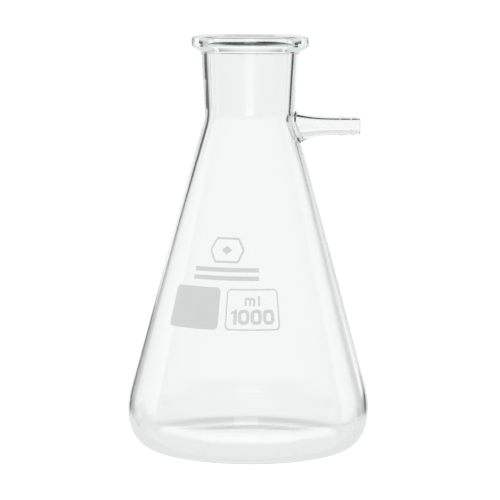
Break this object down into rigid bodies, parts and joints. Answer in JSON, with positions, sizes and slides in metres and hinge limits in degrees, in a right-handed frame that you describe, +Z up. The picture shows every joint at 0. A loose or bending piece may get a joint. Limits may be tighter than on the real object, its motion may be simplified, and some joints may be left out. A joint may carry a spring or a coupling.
{
  "type": "filtering flask",
  "caption": "Conical filtering flask in clear glass with a thick neck collar, a barbed hose connection on the shoulder and grey enamel marks.",
  "frame": {"origin": "centre of the base on the flask's axis, at the plane it rests on", "axes": "+Z up along the neck, +X along the side arm towards its tip, -Y the side that carries the enamel marks"},
  "size_m": [0.135, 0.135, 0.23],
  "materials": {
    "borosilicate_glass": "clear fire-polished glass, smooth inside and out",
    "collar_glass": "clear tooled glass, thick, with soft edges",
    "arm_glass": "clear drawn tube, flame-worked at its root and barbs",
    "grey_enamel": "fired enamel print, light grey, slightly satin"
  },
  "bodies": {
    "root": {"flask_body": "borosilicate_glass", "neck_collar": "collar_glass", "side_arm": "arm_glass", "label_panel": "grey_enamel", "capacity_frame": "grey_enamel", "digit_one": "grey_enamel", "digit_nought_1": "grey_enamel", "digit_nought_2": "grey_enamel", "digit_nought_3": "grey_enamel", "letter_m": "grey_enamel", "letter_l": "grey_enamel", "emblem_ring": "grey_enamel", "emblem_core": "grey_enamel", "rule_lower": "grey_enamel", "rule_upper": "grey_enamel"}
  },
  "joints": []
}
